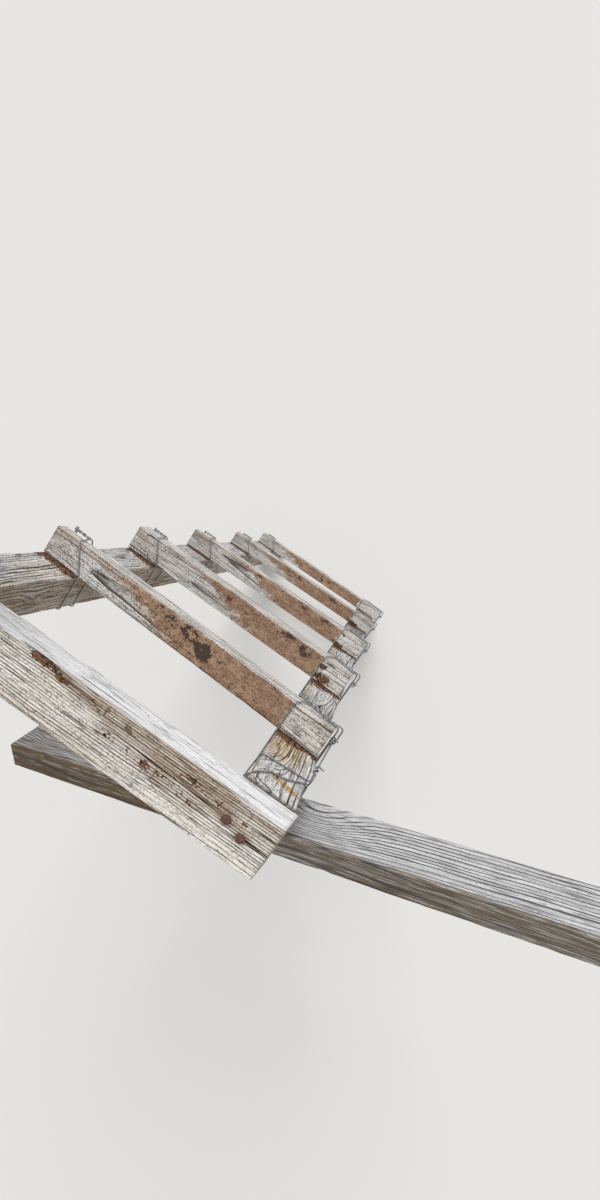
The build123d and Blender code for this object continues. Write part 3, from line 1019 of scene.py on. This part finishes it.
def tread_lashing(tread, hand, side, breadth, inset, turns):
    """Makes the lashing of one end of a tread, and gives the middle of its eye."""
    name, _, height, width, skew, left, right = tread
    overhang = right if side > 0 else left
    grade = abs(tan(radians(skew)))
    inner, outer = side * (HALF - breadth - OFF), side * (HALF + OFF)
    flush = side * (HALF + max(overhang + width * grade + BEND / 2, 0) + OFF)
    aside = flush + side * EYE_RADIUS
    over = SEAT + height + OFF
    meeting = inner + side * inset
    start = Vector((meeting, across_tread(tread, meeting, 1) - TWIST_EDGE, over + TWIST_RADIUS))
    if side > 0:
        eye = Vector((aside, across_tread(tread, aside, 0.5), over - EYE_DROP + EYE_RADIUS))
        finish = Vector((HALF + overhang - TWIST_END, eye.y, start.z))
        outward = Vector((1, 0, 0))
    else:
        bight = side * (HALF + overhang - EYE_INSET)
        lower = across_tread(tread, bight, 1)
        lowest = max(lower, across_tread(tread, -HALF, 1))
        eye = Vector((bight, lowest + OFF + EYE_RADIUS, OFF + EYE_RADIUS))
        finish = Vector((bight, lower - TWIST_END, start.z))
        outward = Vector((0, 1, 0))
    there, back = (
        strand(start, finish, Vector((0, 0, 1)), TWIST_RADIUS, side * turns, side * phase)
        for phase in (pi / 2, -pi / 2)
    )
    legs = []
    for way, share, laps in ((-1, 0, 1), (1, 1, 2)):
        bed = way * OFF * (1 + grade)
        beside = across_tread(tread, inner, share) + bed
        high = eye.z + laps * LAP
        if side > 0:
            ends, climb, top = right_ends(eye, flush, aside, way, high), [], inner
        else:
            ends = left_ends(eye, outer - (laps - 1) * LAP, high)
            climb, top = [(inner, beside, OFF)], meeting
        round_stringer = [(outer, beside, BEHIND), (inner, beside, BEHIND)]
        last = (top, across_tread(tread, top, share) + bed, over)
        legs.append([Vector(point) for point in (*ends, *round_stringer, *climb, last)])
    hang = half_turn(eye, outward, Vector((0, 0, -1)), EYE_RADIUS)
    wire(f"{name.removesuffix('_tread')}_{hand}_lashing", [
        *legs[0],
        *there,
        Vector((*hang[0].xy, there[-1].z)),
        *hang,
        Vector((*hang[-1].xy, back[-1].z)),
        *back[::-1],
        *legs[1][::-1],
    ])
    return eye


eyes = {}
for tread in TREADS:
    for lashing in LASHINGS:
        eyes[tread[0], lashing[0]] = tread_lashing(tread, *lashing)

# Lashing of the bearer, its taut stay hooked into the right eye of the second tread. Where it
# crosses the face of the right stringer: share of the width from the inner side, and place
# down the slope
TIGHT_PASS = (0.0, 80.3), (1.0, 92.0)
SLACK_PASS = (1.0, 84.0), (0.78, 66.0), (0.56, 51.0), (0.32, 46.0), (0.12, 24.0), (0.0, 7.0)
SPARE = 2.0             # between the stringer's sides and where the wire passes the bearer
WINDING_RISE = 11.0     # from the start of the stay to where the other end comes up to it
WINDING_FROM, WINDING_TO, WINDING_TURNS = 22.0, 40.0, 2     # of that end round the stay
length_way, width_way, face_way = (
    BEARER.to_3x3() @ Vector(way) for way in ((1, 0, 0), (0, 1, 0), (0, 0, 1))
)
inner, outer = HALF - RIGHT_BREADTH - OFF, HALF + OFF


def round_bearer(x, far, under, lap=0.0):
    """The point of a wire at one long edge of the bearer, where the ladder's x is as given."""
    point = BEARER.translation + width_way * (BEARER_WIDTH + OFF if far else -OFF)
    point += face_way * (-BEARER_THICK - OFF - lap if under else OFF)
    return point + length_way * ((x - point.x) / length_way.x)


def on_face(share, place):
    """The point of a wire on the face of the right stringer."""
    return Vector((inner + (outer - inner) * share, place, OFF))


stay_eye = eyes["second_tread", "right"]
stay_start, stay_end = on_face(*TIGHT_PASS[1]), stay_eye - Vector((0, EYE_RADIUS, 0))
stay_way = (stay_end - stay_start).normalized()
hook_middle = stay_eye - Vector((0, 0, EYE_RADIUS))
hook = half_turn(hook_middle, Vector((0, 0, 1)), Vector((0, 1, 0)), EYE_RADIUS)
winding = strand(
    stay_start + stay_way * WINDING_FROM, stay_start + stay_way * WINDING_TO,
    Vector((1, 0, 0)), LAP, WINDING_TURNS, 0.0,
)
wire("bearer_lashing", [
    hook[-1] - Vector((0, TAIL, 0)),
    *hook[::-1],
    stay_end,
    stay_start,
    on_face(*TIGHT_PASS[0]),
    round_bearer(inner - SPARE, True, False),
    round_bearer(inner - SPARE, True, True),
    round_bearer(outer + SPARE, False, True),
    round_bearer(outer + SPARE, False, False),
    *(on_face(*point) for point in SLACK_PASS),
    round_bearer(inner - SPARE, False, False),
    round_bearer(inner - SPARE, False, True, LAP),
    round_bearer(outer + SPARE, True, True, LAP),
    round_bearer(outer + SPARE, True, False),
    Vector((outer + LAP, stay_start.y + WINDING_RISE, -LAP)),
    *winding,
    winding[-1] + Vector((TAIL, 0, 0)),
])


# Floor of pale matt paper, which keeps the shadow, and light
PAPER = empty_material("matt studio paper")
paper_shader = add(PAPER.node_tree, "ShaderNodeBsdfDiffuse", {0: "e2e0dc"})
add(PAPER.node_tree, "ShaderNodeOutputMaterial", {0: paper_shader.outputs[0]})
floor_corners = [(-6, -6, 0), (6, -6, 0), (6, 6, 0), (-6, 6, 0)]
floor_mesh = bpy.data.meshes.new("floor")
floor_mesh.from_pydata(floor_corners, [], [(0, 1, 2, 3)])
floor_mesh.materials.append(PAPER)
floor = bpy.data.objects.new("floor", floor_mesh)
bpy.context.collection.objects.link(floor)

world = bpy.data.worlds.new("studio")
bpy.context.scene.world = world
world.use_nodes = True
background = world.node_tree.nodes["Background"]
background.inputs[0].default_value = linear("fbfcff")
background.inputs[1].default_value = 0.66
lamp = bpy.data.lights.new("soft key", "SUN")
lamp.energy = 1.6
lamp.angle = radians(35)
key = bpy.data.objects.new("soft key", lamp)
bpy.context.collection.objects.link(key)
towards_light = Vector((-0.35, 0.45, 0.85))
key.matrix_world = towards_light.to_track_quat("Z", "Y").to_matrix().to_4x4()

bpy.context.scene.view_settings.view_transform = "Standard"
